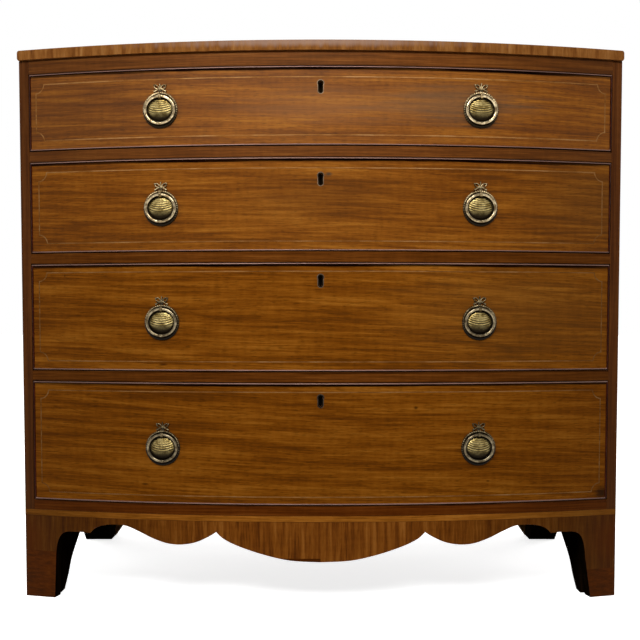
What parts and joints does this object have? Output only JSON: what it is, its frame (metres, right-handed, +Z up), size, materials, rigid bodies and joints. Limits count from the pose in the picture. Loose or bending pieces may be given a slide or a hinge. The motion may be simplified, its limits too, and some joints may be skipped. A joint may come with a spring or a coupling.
{
  "type": "chest of drawers",
  "caption": "Bow front chest of long graduated drawers with cockbeads, locks and ring pulls, on a shaped apron with bracket feet.",
  "frame": {"origin": "on the floor under the middle of the chest's overall box", "axes": "+X to the right of someone facing the drawers, +Y towards the back, +Z up"},
  "size_m": [1.044, 0.573, 0.948],
  "materials": {
    "mahogany_veneer": "polished",
    "mahogany_dark": "polished",
    "cockbead": "polished",
    "oak": "raw",
    "pine": "raw",
    "brass": "aged",
    "steel": "worn"
  },
  "bodies": {
    "carcass": {"top_board": "mahogany_veneer", "side_left": "mahogany_dark", "side_right": "mahogany_dark", "top_rail": "mahogany_veneer", "divider_1": "mahogany_veneer", "divider_2": "mahogany_veneer", "divider_3": "mahogany_veneer", "bottom_board": "mahogany_veneer", "back_panel": "pine", "front_apron": "mahogany_veneer", "side_apron_left": "mahogany_veneer", "side_apron_right": "mahogany_veneer"},
    "drawer_1": {"drawer_1_front": "mahogany_veneer", "drawer_1_cockbead": "cockbead", "drawer_1_side_left": "oak", "drawer_1_side_right": "oak", "drawer_1_back": "oak", "drawer_1_bottom": "pine", "drawer_1_lock": "brass", "drawer_1_plate_left": "brass", "drawer_1_plate_right": "brass"},
    "drawer_1_bolt": {"drawer_1_lock_bolt": "steel"},
    "drawer_1_ring_left": {"drawer_1_ring_left": "brass"},
    "drawer_1_ring_right": {"drawer_1_ring_right": "brass"},
    "drawer_2": {"drawer_2_front": "mahogany_veneer", "drawer_2_cockbead": "cockbead", "drawer_2_side_left": "oak", "drawer_2_side_right": "oak", "drawer_2_back": "oak", "drawer_2_bottom": "pine", "drawer_2_lock": "brass", "drawer_2_plate_left": "brass", "drawer_2_plate_right": "brass"},
    "drawer_2_bolt": {"drawer_2_lock_bolt": "steel"},
    "drawer_2_ring_left": {"drawer_2_ring_left": "brass"},
    "drawer_2_ring_right": {"drawer_2_ring_right": "brass"},
    "drawer_3": {"drawer_3_front": "mahogany_veneer", "drawer_3_cockbead": "cockbead", "drawer_3_side_left": "oak", "drawer_3_side_right": "oak", "drawer_3_back": "oak", "drawer_3_bottom": "pine", "drawer_3_lock": "brass", "drawer_3_plate_left": "brass", "drawer_3_plate_right": "brass"},
    "drawer_3_bolt": {"drawer_3_lock_bolt": "steel"},
    "drawer_3_ring_left": {"drawer_3_ring_left": "brass"},
    "drawer_3_ring_right": {"drawer_3_ring_right": "brass"},
    "drawer_4": {"drawer_4_front": "mahogany_veneer", "drawer_4_cockbead": "cockbead", "drawer_4_side_left": "oak", "drawer_4_side_right": "oak", "drawer_4_back": "oak", "drawer_4_bottom": "pine", "drawer_4_lock": "brass", "drawer_4_plate_left": "brass", "drawer_4_plate_right": "brass"},
    "drawer_4_bolt": {"drawer_4_lock_bolt": "steel"},
    "drawer_4_ring_left": {"drawer_4_ring_left": "brass"},
    "drawer_4_ring_right": {"drawer_4_ring_right": "brass"}
  },
  "joints": [
    {"name": "drawer_1_slide", "type": "slide", "parent": "carcass", "child": "drawer_1", "axis": [0, -1, 0], "range_m": [0, 0.35]},
    {"name": "drawer_1_bolt_slide", "type": "slide", "parent": "drawer_1", "child": "drawer_1_bolt", "axis": [0, 0, 1], "range_m": [0, 0.008]},
    {"name": "drawer_1_ring_left_hinge", "type": "hinge", "parent": "drawer_1", "child": "drawer_1_ring_left", "pos_m": [-0.26911, -0.26815, 0.86], "axis": [-0.9911, 0.1328, 0], "range_deg": [0, 150]},
    {"name": "drawer_1_ring_right_hinge", "type": "hinge", "parent": "drawer_1", "child": "drawer_1_ring_right", "pos_m": [0.26911, -0.26815, 0.86], "axis": [-0.9911, -0.1328, 0], "range_deg": [0, 150]},
    {"name": "drawer_2_slide", "type": "slide", "parent": "carcass", "child": "drawer_2", "axis": [0, -1, 0], "range_m": [0, 0.35]},
    {"name": "drawer_2_bolt_slide", "type": "slide", "parent": "drawer_2", "child": "drawer_2_bolt", "axis": [0, 0, 1], "range_m": [0, 0.008]},
    {"name": "drawer_2_ring_left_hinge", "type": "hinge", "parent": "drawer_2", "child": "drawer_2_ring_left", "pos_m": [-0.26911, -0.26815, 0.6967], "axis": [-0.9911, 0.1328, 0], "range_deg": [0, 150]},
    {"name": "drawer_2_ring_right_hinge", "type": "hinge", "parent": "drawer_2", "child": "drawer_2_ring_right", "pos_m": [0.26911, -0.26815, 0.6967], "axis": [-0.9911, -0.1328, 0], "range_deg": [0, 150]},
    {"name": "drawer_3_slide", "type": "slide", "parent": "carcass", "child": "drawer_3", "axis": [0, -1, 0], "range_m": [0, 0.35]},
    {"name": "drawer_3_bolt_slide", "type": "slide", "parent": "drawer_3", "child": "drawer_3_bolt", "axis": [0, 0, 1], "range_m": [0, 0.008]},
    {"name": "drawer_3_ring_left_hinge", "type": "hinge", "parent": "drawer_3", "child": "drawer_3_ring_left", "pos_m": [-0.26911, -0.26815, 0.5049], "axis": [-0.9911, 0.1328, 0], "range_deg": [0, 150]},
    {"name": "drawer_3_ring_right_hinge", "type": "hinge", "parent": "drawer_3", "child": "drawer_3_ring_right", "pos_m": [0.26911, -0.26815, 0.5049], "axis": [-0.9911, -0.1328, 0], "range_deg": [0, 150]},
    {"name": "drawer_4_slide", "type": "slide", "parent": "carcass", "child": "drawer_4", "axis": [0, -1, 0], "range_m": [0, 0.35]},
    {"name": "drawer_4_bolt_slide", "type": "slide", "parent": "drawer_4", "child": "drawer_4_bolt", "axis": [0, 0, 1], "range_m": [0, 0.008]},
    {"name": "drawer_4_ring_left_hinge", "type": "hinge", "parent": "drawer_4", "child": "drawer_4_ring_left", "pos_m": [-0.26911, -0.26815, 0.2916], "axis": [-0.9911, 0.1328, 0], "range_deg": [0, 150]},
    {"name": "drawer_4_ring_right_hinge", "type": "hinge", "parent": "drawer_4", "child": "drawer_4_ring_right", "pos_m": [0.26911, -0.26815, 0.2916], "axis": [-0.9911, -0.1328, 0], "range_deg": [0, 150]}
  ]
}
